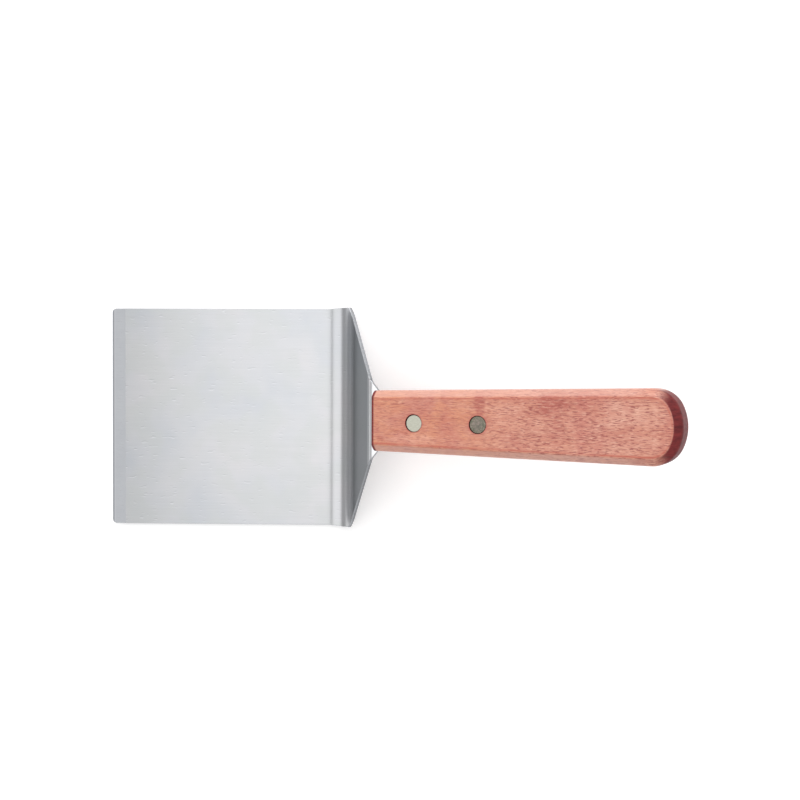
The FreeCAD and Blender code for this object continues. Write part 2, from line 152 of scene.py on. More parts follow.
GRIP, GRIP_AXIS = mount("grip")
EDGE_X = mount("cutting_edge")[0].x
BLADE_LENGTH = -2 * EDGE_X
HANDLE_TILT = math.atan2(GRIP_AXIS.z, GRIP_AXIS.x)
HANDLE_START = GRIP - GRIP_AXIS * (HANDLE_LENGTH / 2)
HANDLE_FRAME = Matrix.Translation(HANDLE_START) @ Matrix.Rotation(-HANDLE_TILT, 4, "Y")


# ---------------------------------------------------------------- mesh helpers

def finish_piece(mesh, name, materials, nodes, place=Matrix.Identity(4)):
    """Make an object of a mesh, give it its materials and body, and hide the CAD nodes it stands
    for.
    """
    mesh.transform(place)
    piece = bpy.data.objects.new(name, mesh)
    bpy.context.scene.collection.objects.link(piece)
    for material in materials:
        mesh.materials.append(material)
    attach(piece, BODY)
    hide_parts(*nodes)
    return piece


def mesh_from(vertices, faces, name):
    """A mesh of points and faces."""
    mesh = bpy.data.meshes.new(name)
    mesh.from_pydata(vertices, [], faces)
    mesh.validate()
    return mesh


def smooth_except(mesh, angle):
    """Smooth shading with creases where faces meet at more than the angle."""
    mesh.polygons.foreach_set("use_smooth", [True] * len(mesh.polygons))
    mesh.set_sharp_from_angle(angle=math.radians(angle))


def carve(piece, cutter):
    """Cut one mesh out of a piece for good, and drop the cutter."""
    modifier = piece.modifiers.new("carve", "BOOLEAN")
    modifier.operation = "DIFFERENCE"
    modifier.solver = "EXACT"
    modifier.object = cutter
    bpy.context.view_layer.update()
    graph = bpy.context.evaluated_depsgraph_get()
    carved = bpy.data.meshes.new_from_object(piece.evaluated_get(graph))
    piece.modifiers.clear()
    piece.data = carved
    bpy.data.objects.remove(cutter)


def tool(mesh, place):
    """A cutting tool: an object that only lives until carve() has used it."""
    cutter = bpy.data.objects.new("cutter", mesh)
    bpy.context.scene.collection.objects.link(cutter)
    cutter.matrix_world = place
    return cutter


def lathe(profile, steps, name):
    """A closed solid turned about Z from (radius, height) pairs; a radius of 0 is a pole."""
    vertices, rings = [], []
    for radius, height in profile:
        ring = []
        if radius == 0:
            vertices.append((0, 0, height))
            ring = [len(vertices) - 1] * steps
        else:
            for step in range(steps):
                turn = 2 * math.pi * step / steps
                vertices.append((radius * math.cos(turn), radius * math.sin(turn), height))
                ring.append(len(vertices) - 1)
        rings.append(ring)
    faces = []
    for lower, upper in zip(rings, rings[1:] + rings[:1]):
        for step in range(steps):
            after = (step + 1) % steps
            corners = [lower[step], lower[after], upper[after], upper[step]]
            face = list(dict.fromkeys(corners))
            if len(face) > 2:
                faces.append(face)
    return mesh_from(vertices, faces, name)


# ---------------------------------------------------------------- node helpers

class Nodes:
    """Short way to build a node tree."""

    def __init__(self, name):
        self.material = bpy.data.materials.new(name)
        self.material.use_nodes = True
        self.tree = self.material.node_tree
        self.shader = self.tree.nodes["Principled BSDF"]

    def add(self, kind, **settings):
        """A node of a kind, with its settings."""
        node = self.tree.nodes.new(kind)
        for key, value in settings.items():
            setattr(node, key, value)
        return node

    def link(self, source, target):
        """Join an output to an input."""
        self.tree.links.new(source, target)

    def along_grain(self):
        """Object coordinates in the handle's own frame, so that X runs along the fibres."""
        mapping = self.add("ShaderNodeMapping", vector_type="TEXTURE")
        mapping.inputs["Location"].default_value = HANDLE_START
        mapping.inputs["Rotation"].default_value = (0, -HANDLE_TILT, 0)
        self.link(self.add("ShaderNodeTexCoord").outputs["Object"], mapping.inputs["Vector"])
        return mapping.outputs["Vector"]

    def noise(self, vector, scale, stretch=(1, 1, 1), detail=3.0, rough=0.5, distortion=0.0):
        """Noise in space stretched by per-axis frequencies, in repeats per metre."""
        mapping = self.add("ShaderNodeMapping")
        mapping.inputs["Scale"].default_value = [scale * s for s in stretch]
        self.link(vector, mapping.inputs["Vector"])
        texture = self.add("ShaderNodeTexNoise")
        texture.inputs["Scale"].default_value = 1.0
        texture.inputs["Detail"].default_value = detail
        texture.inputs["Roughness"].default_value = rough
        texture.inputs["Distortion"].default_value = distortion
        self.link(mapping.outputs["Vector"], texture.inputs["Vector"])
        return texture.outputs["Fac"]

    def shifted(self, vector, offset):
        """A vector moved by a fixed offset."""
        node = self.add("ShaderNodeVectorMath", operation="ADD")
        self.link(vector, node.inputs[0])
        node.inputs[1].default_value = offset
        return node.outputs["Vector"]

    def swayed(self, vector, value, reach):
        """Push a vector sideways across the grain by a value around one half."""
        offset = self.add("ShaderNodeCombineXYZ")
        self.link(self.span(value, 0.25, 0.75, -reach / 2, reach / 2), offset.inputs["Y"])
        node = self.add("ShaderNodeVectorMath", operation="ADD")
        self.link(vector, node.inputs[0])
        self.link(offset.outputs["Vector"], node.inputs[1])
        return node.outputs["Vector"]

    def distance(self, vector, centre, size):
        """Distance from a centre measured in sizes, per axis."""
        node = self.add("ShaderNodeVectorMath", operation="MULTIPLY_ADD")
        self.link(vector, node.inputs[0])
        node.inputs[1].default_value = [1 / extent for extent in size]
        node.inputs[2].default_value = [-c / extent for c, extent in zip(centre, size)]
        length = self.add("ShaderNodeVectorMath", operation="LENGTH")
        self.link(node.outputs["Vector"], length.inputs[0])
        return length.outputs["Value"]

    def spot(self, vector, centre, size, strength):
        """A soft, ragged patch; centre and size in millimetres."""
        ragged = self.noise(vector, 1.0, (240, 420, 420), 4.0, 0.65)
        reach = self.distance(vector, [c * MM for c in centre], [e * MM for e in size])
        reach = self.math("ADD", reach, self.span(ragged, 0.25, 0.75, -0.55, 0.55))
        return self.span(reach, 0.35, 1.15, strength, 0.0, smooth=True)

    def ring(self, vector, place, radius, width):
        """A soft ring round a rivet's axis."""
        flat = self.add("ShaderNodeVectorMath", operation="MULTIPLY")
        self.link(vector, flat.inputs[0])
        flat.inputs[1].default_value = (1, 1, 0)
        reach = self.distance(flat.outputs["Vector"], (place, RIVET_DRIFT, 0), (1, 1, 1))
        return self.span(reach, radius - width, radius + width, 1.0, 0.0, smooth=True)

    def ramp(self, value, stops, interpolation="LINEAR"):
        """Colour ramp; stops are (position, grey or colour)."""
        node = self.add("ShaderNodeValToRGB")
        node.color_ramp.interpolation = interpolation
        elements = node.color_ramp.elements
        while len(elements) < len(stops):
            elements.new(0.5)
        for element, (position, colour) in zip(elements, stops):
            element.position = position
            rgb = (colour,) * 3 if isinstance(colour, (int, float)) else colour
            element.color = (*rgb, 1)
        self.link(value, node.inputs["Fac"])
        return node.outputs["Color"]

    def span(self, value, low, high, to_low=0.0, to_high=1.0, smooth=False):
        """Map a range of a value to another range, clamped."""
        node = self.add("ShaderNodeMapRange")
        node.interpolation_type = "SMOOTHSTEP" if smooth else "LINEAR"
        for key, number in (("From Min", low), ("From Max", high),
                            ("To Min", to_low), ("To Max", to_high)):
            node.inputs[key].default_value = number
        self.link(value, node.inputs["Value"])
        return node.outputs["Result"]

    def math(self, operation, first, second=None):
        """One arithmetic step on outputs or numbers."""
        node = self.add("ShaderNodeMath", operation=operation)
        for index, item in enumerate((first, second)):
            if item is None:
                continue
            if isinstance(item, (int, float)):
                node.inputs[index].default_value = item
            else:
                self.link(item, node.inputs[index])
        return node.outputs["Value"]

    def mix(self, factor, first, second, blend="MIX"):
        """Blend two colours by a factor; each may be an output or a constant."""
        node = self.add("ShaderNodeMix", data_type="RGBA", blend_type=blend)
        for socket, item in (("Factor", factor), ("A", first), ("B", second)):
            target = next(i for i in node.inputs if i.name == socket and i.enabled)
            if isinstance(item, (int, float)):
                target.default_value = item
            elif isinstance(item, tuple):
                target.default_value = (*item, 1)
            else:
                self.link(item, target)
        return next(o for o in node.outputs if o.enabled)

    def bump(self, height, strength, distance, previous=None):
        """A bumped normal, on top of a previous one if given."""
        node = self.add("ShaderNodeBump")
        node.inputs["Strength"].default_value = strength
        node.inputs["Distance"].default_value = distance
        self.link(height, node.inputs["Height"])
        if previous is not None:
            self.link(previous, node.inputs["Normal"])
        return node.outputs["Normal"]

    def set(self, **values):
        """Set the shader's own values; underscores in the names stand for spaces."""
        for name, value in values.items():
            self.shader.inputs[name.replace("_", " ")].default_value = value


def srgb(red, green, blue):
    """Linear colour from 0-255 display values."""
    def linear(value):
        value /= 255
        return value / 12.92 if value <= 0.04045 else ((value + 0.055) / 1.055) ** 2.4
    return (linear(red), linear(green), linear(blue))


# ---------------------------------------------------------------- blade

def join_lengths():
    """Riser length and bare tang length that take the sheet from the lower bend to the handle."""
    lower, upper = LOWER_BEND + SHEET / 2, UPPER_BEND + SHEET / 2
    start = Vector((BLADE_LENGTH / 2 + lower * math.sin(RISER_TILT),
                    SHEET / 2 + lower * (1 - math.cos(RISER_TILT))))
    turn = upper * Vector((math.sin(RISER_TILT) - math.sin(HANDLE_TILT),
                           math.cos(HANDLE_TILT) - math.cos(RISER_TILT)))
    gap = Vector((HANDLE_START.x, HANDLE_START.z)) - start - turn
    riser = Vector((math.cos(RISER_TILT), math.sin(RISER_TILT)))
    tang = Vector((math.cos(HANDLE_TILT), math.sin(HANDLE_TILT)))
    area = riser.x * tang.y - riser.y * tang.x
    return ((gap.x * tang.y - gap.y * tang.x) / area, (riser.x * gap.y - riser.y * gap.x) / area)


RISER_LENGTH, BARE_TANG = join_lengths()
LOWER_ARC = (LOWER_BEND + SHEET / 2) * RISER_TILT
UPPER_ARC = (UPPER_BEND + SHEET / 2) * (RISER_TILT - HANDLE_TILT)
AT_LOWER = BLADE_LENGTH
AT_RISER = AT_LOWER + LOWER_ARC
AT_UPPER = AT_RISER + RISER_LENGTH
AT_TANG = AT_UPPER + UPPER_ARC
AT_HANDLE = AT_TANG + BARE_TANG
AT_END = AT_HANDLE + TANG_LENGTH


def sheet_middle(run):
    """Middle of the sheet's thickness at a run from the cutting edge: x, z and slope."""
    if run < AT_LOWER:
        return EDGE_X + run, SHEET / 2, 0.0
    radius = LOWER_BEND + SHEET / 2
    slope = min((run - AT_LOWER) / radius, RISER_TILT)
    x = -EDGE_X + radius * math.sin(slope)
    z = SHEET / 2 + radius * (1 - math.cos(slope))
    if run < AT_RISER:
        return x, z, slope
    straight = min(run - AT_RISER, RISER_LENGTH)
    x += straight * math.cos(RISER_TILT)
    z += straight * math.sin(RISER_TILT)
    if run < AT_UPPER:
        return x, z, RISER_TILT
    radius = UPPER_BEND + SHEET / 2
    slope = max(RISER_TILT - (run - AT_UPPER) / radius, HANDLE_TILT)
    x += radius * (math.sin(RISER_TILT) - math.sin(slope))
    z += radius * (math.cos(slope) - math.cos(RISER_TILT))
    if run < AT_TANG:
        return x, z, slope
    straight = run - AT_TANG
    return x + straight * math.cos(HANDLE_TILT), z + straight * math.sin(HANDLE_TILT), HANDLE_TILT


def bend_easing(run):
    """Rise of the sheet where the press eases into the lower bend; it fades up the riser."""
    after, radius = run - AT_LOWER, LOWER_BEND + SHEET / 2
    if after < -BEND_EASE:
        return 0.0
    if after < BEND_EASE:
        eased = (after + BEND_EASE) ** 3 / (12 * BEND_EASE * radius)
        return eased - max(after, 0) ** 2 / (2 * radius)
    left = (AT_UPPER - run) / (AT_UPPER - AT_LOWER - BEND_EASE)
    return BEND_EASE ** 2 / (6 * radius) * max(left, 0)


def half_width(run):
    """Half the width of the cut sheet at a run from the cutting edge."""
    side = BLADE_WIDTH / 2
    proud = side + SHOULDER_FLARE
    if run < CORNER_ROUND:
        corner = CORNER_ROUND ** 2 - (CORNER_ROUND - run) ** 2
        return side - CORNER_ROUND + math.sqrt(max(0, corner))
    if run <= AT_LOWER:
        return side
    lower_middle, upper_middle = LOWER_BEND + SHEET / 2, UPPER_BEND + SHEET / 2
    to_riser = (AT_RISER - run) / lower_middle
    if run < AT_RISER and lower_middle * math.sin(to_riser) > SHOULDER_LEAD:
        forward = lower_middle * math.sin((run - AT_LOWER) / lower_middle)
        return side + SHOULDER_FLARE * min(forward / FLARE_LENGTH, 1)
    taper = (proud - NECK_WIDTH / 2) / (NECK_REACH + SHOULDER_LEAD)
    if run < AT_RISER:
        along = -lower_middle * math.sin(to_riser)
    elif run < AT_UPPER:
        along = run - AT_RISER
    else:
        along = RISER_LENGTH + upper_middle * math.sin((run - AT_UPPER) / upper_middle)
    on_riser = proud - taper * (along + SHOULDER_LEAD)
    if run < (AT_UPPER + AT_TANG) / 2:
        return on_riser
    if run < AT_TANG:
        along = -BARE_TANG - upper_middle * math.sin((AT_TANG - run) / upper_middle)
    else:
        along = run - AT_HANDLE
    narrowing = (NECK_WIDTH - TANG_WIDTH) / 2 / (TANG_LEAD + TANG_STEP)
    width = max(NECK_WIDTH / 2 - narrowing * (along + TANG_LEAD), TANG_WIDTH / 2)
    width = min(width, on_riser + MM)
    into_end = run - (AT_END - TANG_ROUND)
    if into_end > 0:
        width = TANG_WIDTH / 2 - TANG_ROUND + math.sqrt(max(0, TANG_ROUND ** 2 - into_end ** 2))
    return width


def blade_stations():
    """Runs at which the sheet gets a row of points: close together wherever it turns."""
    def even(low, high, pitch):
        count = max(1, round((high - low) / pitch))
        return [low + (high - low) * i / count for i in range(count)]

    quarter = [i * math.pi / 2 / 10 for i in range(10)]
    shoulder = AT_RISER - (LOWER_BEND + SHEET / 2) * math.asin(
        SHOULDER_LEAD / (LOWER_BEND + SHEET / 2))
    step = AT_HANDLE + TANG_STEP
    runs = [CORNER_ROUND * (1 - math.cos(turn)) for turn in quarter]
    runs += even(CORNER_ROUND, BEVEL_LENGTH, 1.1 * MM)
    runs += even(BEVEL_LENGTH, AT_LOWER - 2 * BEND_EASE, 3.0 * MM)
    runs += even(AT_LOWER - 2 * BEND_EASE, AT_LOWER, 0.4 * MM)
    runs += even(AT_LOWER, shoulder, 0.35 * MM)
    runs += even(shoulder, AT_RISER, 0.35 * MM)
    runs += even(AT_RISER, AT_UPPER, 1.5 * MM)
    runs += even(AT_UPPER, AT_TANG, 0.18 * MM)
    runs += even(AT_TANG, AT_HANDLE, 1.0 * MM)
    runs += even(AT_HANDLE, step, 1.0 * MM)
    runs += even(step, AT_END - TANG_ROUND, 3.0 * MM)
    runs += [AT_END - TANG_ROUND * (1 - math.sin(turn)) for turn in quarter]
    return runs + [AT_END]


def make_blade():
    """The bent sheet: rings of points along its run, with its three finishes by face."""
    columns = 40
    satin, ground, sheared = 0, 1, 2
    runs = blade_stations()
    vertices, flat, edge_place = [], [], []
    for run in runs:
        width = half_width(run)
        thickness = EDGE_LAND + (SHEET - EDGE_LAND) * min(run / BEVEL_LENGTH, 1)
        low = -SHEET / 2
        high = low + thickness
        edge = min(EDGE_BREAK, thickness / 4)
        across = [(2 * k / columns - 1) * (width - edge) for k in range(columns + 1)]
        ring = [(y, high) for y in across]
        ring += [(width, high - edge), (width, low + edge)]
        ring += [(y, low) for y in reversed(across)]
        ring += [(-width, low + edge), (-width, high - edge)]
        x, z, slope = sheet_middle(run)
        z += bend_easing(run)
        for y, lift in ring:
            vertices.append((x - lift * math.sin(slope), y, z + lift * math.cos(slope)))
            flat.append((y, run + lift))
            edge_place.append((run, (lift - low) / thickness))
    size = 2 * (columns + 1) + 4
    faces, kinds = [], []
    for row in range(len(runs) - 1):
        for k in range(size):
            after = (k + 1) % size
            faces.append((row * size + k, row * size + after,
                          (row + 1) * size + after, (row + 1) * size + k))
            on_top = k < columns
            on_face = on_top or columns + 3 <= k < 2 * columns + 3
            ground_here = on_top and runs[row] < BEVEL_LENGTH - 1e-6
            kinds.append(ground if ground_here else satin if on_face else sheared)
    for row, order in ((0, -1), (len(runs) - 1, 1)):
        base = row * size
        opposite = [base + 2 * columns + 3 - k for k in range(columns + 1)]
        for k in range(columns):
            face = (base + k, base + k + 1, opposite[k + 1], opposite[k])
            faces.append(face[::order])
            kinds.append(sheared)
        for first in (base + columns, base + 2 * columns + 3):
            face = [first, first + 1, first + 2, first + 3]
            face = [base + (i - base) % size for i in face]
            faces.append(face[::order])
            kinds.append(sheared)
    mesh = mesh_from(vertices, faces, "blade_sheet")
    mesh.polygons.foreach_set("material_index", kinds)
    for name, places in (("flat_sheet", flat), ("cut_edge", edge_place)):
        layer = mesh.uv_layers.new(name=name)
        for loop in mesh.loops:
            layer.data[loop.index].uv = places[loop.vertex_index]
    smooth_except(mesh, 25)
    bevel_row = next(i for i, run in enumerate(runs) if run >= BEVEL_LENGTH - 1e-6)
    bevel_line = set(range(bevel_row * size, bevel_row * size + columns + 1))
    for edge in mesh.edges:
        if set(edge.vertices) <= bevel_line:
            edge.use_edge_sharp = True
    materials = [brushed_steel(), ground_steel(), sheared_steel()]
    return finish_piece(mesh, "blade_sheet", materials, ["blade"])


# ---------------------------------------------------------------- handle

def handle_side():
    """Points of the +Y side of the plan, front to butt: position and outward direction."""
    rise = BUTT_WIDTH / 2 - BUTT_CORNER
    side_end = HANDLE_LENGTH - BUTT_DEPTH
    end_radius = ((BUTT_DEPTH ** 2 + rise ** 2 - BUTT_CORNER ** 2)
                  / (2 * (BUTT_DEPTH - BUTT_CORNER)))
    end_centre = HANDLE_LENGTH - end_radius
    reach = math.atan2(rise, side_end - end_centre)
    # the straight side touches the corner arc: solve for the direction it leaves at
    lean = math.asin(BUTT_CORNER / math.hypot(side_end, rise - FRONT_WIDTH / 2))
    lean -= math.atan2(FRONT_WIDTH / 2 - rise, side_end)
    outward = math.pi / 2 + lean
    touch = Vector((side_end + BUTT_CORNER * math.cos(outward),
                    rise + BUTT_CORNER * math.sin(outward)))
    start = Vector((0, FRONT_WIDTH / 2))
    count = 60
    points = [(start.lerp(touch, i / count), outward) for i in range(count)]
    count = 18
    for i in range(count):
        turn = outward + (reach - outward) * i / count
        arm = Vector((math.cos(turn), math.sin(turn)))
        points.append((Vector((side_end, rise)) + BUTT_CORNER * arm, turn))
    for i in range(count + 1):
        turn = reach * (1 - i / count)
        arm = Vector((math.cos(turn), math.sin(turn)))
        points.append((Vector((end_centre, 0)) + end_radius * arm, turn))
    return points


def handle_levels():
    """The handle's layers from bottom to top: height, inset and run over the profile.

    From mid-height the profile goes up the wall, round the blend, over the bevel and the crease
    rounded with use, and onto the flat. The run is zero at the crease and grows towards the flat.
    """
    half = HANDLE_THICKNESS / 2
    diagonal = math.radians(45)
    soft_reach = BEVEL_BLEND * math.tan(diagonal / 2)
    worn_reach = CREASE_WEAR * math.tan(diagonal / 2)
    corner = half - EDGE_BEVEL
    points = [(corner - soft_reach) * step / 4 for step in range(4)]
    levels = [(height, 0.0) for height in points]
    for step in range(7):
        turn = diagonal * step / 6
        levels.append((corner - soft_reach + BEVEL_BLEND * math.sin(turn),
                       BEVEL_BLEND * (1 - math.cos(turn))))
    low = levels[-1]
    bend_start = (half - worn_reach * math.sin(diagonal),
                  EDGE_BEVEL - worn_reach * math.cos(diagonal))
    for step in range(1, 4):
        share = step / 4
        levels.append((low[0] + (bend_start[0] - low[0]) * share,
                       low[1] + (bend_start[1] - low[1]) * share))
    for step in range(6):
        turn = diagonal * (1 - step / 5)
        levels.append((half - CREASE_WEAR * (1 - math.cos(turn)),
                       EDGE_BEVEL + worn_reach - CREASE_WEAR * math.sin(turn)))
    for inset in (0.2 * MM, 0.5 * MM, 1.1 * MM, 2.2 * MM):
        levels.append((half, EDGE_BEVEL + worn_reach + inset))
    runs = [0.0]
    for (height, inset), (height_after, inset_after) in zip(levels, levels[1:]):
        runs.append(runs[-1] + math.hypot(height_after - height, inset_after - inset))
    crease = runs[-5]
    levels = [(*level, run - crease) for level, run in zip(levels, runs)]
    below = [(-height, inset, run) for height, inset, run in reversed(levels[1:])]
    return below + levels


def handle_layer(side, height, inset):
    """One closed outline of the handle: along +Y to the butt, back along -Y."""
    half = HANDLE_THICKNESS / 2
    front = max(0.0, FRONT_BEVEL - (half - abs(height)))
    left = []
    for point, outward in side:
        moved = point - inset * Vector((math.cos(outward), math.sin(outward)))
        x = max(moved.x, front)
        y = moved.y
        nose = SIDE_BREAK - (x - front)
        if nose > 0:
            y -= nose
        left.append((x, max(y, 0.0), height))
    left[-1] = (left[-1][0], 0.0, height)
    right = [(x, -y, z) for x, y, z in reversed(left[:-1])]
    return left + right


def make_handle():
    """The wooden handle with its kerf and rivet seats cut out."""
    side = handle_side()
    first = side[0]
    lead = [(first[0].lerp(side[1][0], share), first[1]) for share in (0.12, 0.25, 0.35, 0.5)]
    side = [first] + lead + side[1:]
    levels = handle_levels()
    layers = [handle_layer(side, height, inset) for height, inset, run in levels]
    size = len(layers[0])
    vertices = [corner for layer in layers for corner in layer]
    runs = [run for height, inset, run in levels for corner in range(size)]
    faces = []
    for row in range(len(layers) - 1):
        for k in range(size):
            after = (k + 1) % size
            faces.append((row * size + k, (row + 1) * size + k,
                          (row + 1) * size + after, row * size + after))
    columns = 24
    for row, order in ((0, -1), (len(layers) - 1, 1)):
        base = row * size
        rungs = []
        for k in range(len(side) - 1):
            left, right = base + k, base + size - 1 - k
            inner = []
            for column in range(1, columns):
                share = column / columns
                a, b = Vector(vertices[left]), Vector(vertices[right])
                vertices.append(tuple(a.lerp(b, share)))
                runs.append(levels[-1][2] + min(share, 1 - share) * (b - a).length)
                inner.append(len(vertices) - 1)
            rungs.append([left] + inner + [right])
        for near, far in zip(rungs, rungs[1:]):
            for column in range(columns):
                face = (near[column], near[column + 1], far[column + 1], far[column])
                faces.append(face[::order])
        tip = base + len(side) - 1
        for column in range(columns):
            faces.append((rungs[-1][column], rungs[-1][column + 1], tip)[::order])
    mesh = mesh_from(vertices, faces, "handle_wood")
    layer = mesh.uv_layers.new(name="profile")
    for loop in mesh.loops:
        layer.data[loop.index].uv = (vertices[loop.vertex_index][0], runs[loop.vertex_index])
    piece = finish_piece(mesh, "handle_wood", [], ["handle"], HANDLE_FRAME)
    carve(piece, tool(kerf_cutter(), HANDLE_FRAME))
    for place in RIVET_PLACES.values():
        at = HANDLE_FRAME @ Matrix.Translation((place, RIVET_DRIFT, 0))
        carve(piece, tool(seat_cutter(), at))
    smooth_except(piece.data, 30)
    piece.data.materials.clear()
    piece.data.materials.append(hardwood())
    return piece


def kerf_cutter():
    """The slab of wood that the saw takes out, with its round end."""
    steps = 24
    half = BUTT_WIDTH / 2 + MM
    centre = KERF_DEPTH - SAW_RADIUS
    outline = [(-MM, -half)]
    for step in range(steps + 1):
        y = -half + 2 * half * step / steps
        outline.append((centre + math.sqrt(SAW_RADIUS ** 2 - y ** 2), y))
    outline.append((-MM, half))
    count = len(outline)
    vertices = [(x, y, z) for z in (-KERF / 2, KERF / 2) for x, y in outline]
    faces = [tuple(range(count))[::-1], tuple(range(count, 2 * count))]
    for k in range(count):
        after = (k + 1) % count
        faces.append((k, after, count + after, count + k))
    return mesh_from(vertices, faces, "kerf_cutter")


def seat_cutter():
    """Rivet hole with its two head seats."""
    out = HANDLE_THICKNESS / 2 + MM
    seat = HANDLE_THICKNESS / 2 - HEAD_RECESS - HEAD_HEIGHT
    profile = [(0, -out), (SEAT_DIAMETER / 2, -out), (SEAT_DIAMETER / 2, -seat),
               (RIVET_HOLE / 2, -seat), (RIVET_HOLE / 2, seat), (SEAT_DIAMETER / 2, seat),
               (SEAT_DIAMETER / 2, out), (0, out)]
    return lathe(profile, 96, "seat_cutter")


# ---------------------------------------------------------------- rivets

def head_roof():
    """Outer profile of a rivet head, from its seat up to its very slightly crowned top."""
    top = HANDLE_THICKNESS / 2 - HEAD_RECESS
    seat = top - HEAD_HEIGHT
    radius = HEAD_DIAMETER / 2
    profile = [(radius - 0.05 * MM, seat), (radius, seat + 0.05 * MM)]
    for step in range(7):
        turn = math.pi / 2 * step / 6
        profile.append((radius - HEAD_ROLL + HEAD_ROLL * math.cos(turn),
                        top - HEAD_CROWN - HEAD_ROLL + HEAD_ROLL * math.sin(turn)))
    steps = 8
    flat = radius - HEAD_ROLL
    for step in range(1, steps):
        share = 1 - step / steps
        profile.append((flat * share, top - HEAD_CROWN * share ** 2))
    return profile + [(0, top)]


def make_rivet(row, material):
    """Both halves of one rivet: hollow half from above, solid half from below."""
    seat = HANDLE_THICKNESS / 2 - HEAD_RECESS - HEAD_HEIGHT
    tube, pin = TUBE_DIAMETER / 2, PIN_DIAMETER / 2
    stop = END_GAP - seat
    hollow = head_roof() + [(0, seat), (pin, seat), (pin, stop), (tube, stop), (tube, seat)]
    solid = head_roof() + [(0, stop), (pin - PIN_CHAMFER, stop), (pin, stop + PIN_CHAMFER),
                           (pin, seat)]
    play = RIVET_PLAY if row == "front" else 0.0
    along = RIVET_PLACES[row] + play
    across = RIVET_DRIFT - play
    centre = HANDLE_FRAME @ Matrix.Translation((along, across, 0))
    for half, profile, flip in (("socket", hollow, 0), ("pin", solid, math.pi)):
        name = f"{row}_rivet_{half}"
        mesh = lathe(profile, 72, name)
        repair = bmesh.new()
        repair.from_mesh(mesh)
        bmesh.ops.recalc_face_normals(repair, faces=repair.faces)
        repair.to_mesh(mesh)
        repair.free()
        smooth_except(mesh, 35)
        place = centre @ Matrix.Rotation(flip, 4, "Y")
        finish_piece(mesh, name + "_metal", [material], [name], place)


# ---------------------------------------------------------------- materials

def brushed_steel():
    """Satin sheet: hairlines along the tool, faint dents, soft bluish and greenish clouds.

    The riser carries painted shade and the neck a painted highlight, standing in for the dark and
    the bright surroundings they reflect; the dents have painted dark and light sides.
    """
    n = Nodes("brushed_steel")
    uv = n.add("ShaderNodeUVMap", uv_map="flat_sheet").outputs["UV"]
    place = n.add("ShaderNodeTexCoord").outputs["Object"]
    hair = n.noise(uv, 1.0, (9000, 60, 1), 3.0, 0.6)
    broad_hair = n.noise(uv, 1.0, (1400, 30, 1), 3.0, 0.6)
    cloud = n.noise(place, 30, (1, 1, 1), 3.0, 0.55)
    patch = n.noise(place, 70, (1, 1, 1), 2.0, 0.5)
    tint = n.ramp(cloud, [(0.32, srgb(189, 192, 197)), (0.50, srgb(196, 197, 200)),
                          (0.68, srgb(200, 199, 201))])
    tint = n.mix(n.span(patch, 0.42, 0.62, 0.0, 0.5, smooth=True), tint, srgb(191, 194, 193))
    tone = n.mix(n.span(hair, 0.3, 0.7, 0.0, 0.10), tint, srgb(160, 161, 163))
    tone = n.mix(n.span(broad_hair, 0.35, 0.75, 0.0, 0.14), tone, srgb(166, 167, 169))
    # short dents: painted shade on one side and a painted highlight just beside it, fading away
    # from the cutting edge
    dent_and_shade = n.ramp(n.noise(uv, 1.0, (950, 230, 1), 2.0, 0.5, 0.3), [(0.63, 0.0), (0.74, 1.0)])
    painted_lit_side = n.ramp(n.noise(n.shifted(uv, (0.45 * MM, 0, 0)), 1.0, (950, 230, 1), 2.0, 0.5, 0.3),
                   [(0.63, 0.0), (0.74, 1.0)])
    run = n.add("ShaderNodeSeparateXYZ")
    n.link(uv, run.inputs["Vector"])
    dent_fade = n.span(run.outputs["Y"], 25 * MM, 80 * MM, 1.0, 0.55)
    tone = n.mix(n.math("MULTIPLY", n.math("MULTIPLY", dent_and_shade, 0.42), dent_fade), tone,
                 srgb(150, 152, 156))
    tone = n.mix(n.math("MULTIPLY", n.math("MULTIPLY", painted_lit_side, 0.60), dent_fade), tone,
                 srgb(216, 217, 220))
    # painted shade: the riser is darkened to stand in for the dark surroundings it reflects
    riser = n.span(run.outputs["Y"], AT_RISER + 0.5 * MM, AT_RISER + 4.0 * MM, 0.0, 0.95,
                   smooth=True)
    below_neck = n.span(run.outputs["Y"], AT_UPPER, AT_UPPER + UPPER_ARC / 2, 1.0, 0.0)
    riser = n.math("MULTIPLY", riser, below_neck)
    tone = n.mix(riser, tone, srgb(124, 127, 130))
    # painted highlight: the neck is lightened to stand in for a bright reflection
    neck = n.span(run.outputs["Y"], AT_UPPER + UPPER_ARC / 2, AT_TANG, 0.0, 0.8, smooth=True)
    tone = n.mix(neck, tone, srgb(232, 232, 234))
    n.link(tone, n.shader.inputs["Base Color"])
    n.link(n.span(dent_and_shade, 0.0, 1.0, 0.275, 0.32), n.shader.inputs["Roughness"])
    dented = n.bump(dent_and_shade, 0.25, 0.01 * MM)
    n.link(n.bump(cloud, 0.15, 0.10 * MM, dented), n.shader.inputs["Normal"])
    tangent = n.add("ShaderNodeTangent", direction_type="UV_MAP", uv_map="flat_sheet")
    n.link(tangent.outputs["Tangent"], n.shader.inputs["Tangent"])
    n.set(Metallic=1.0, Anisotropic=0.5)
    return n.material


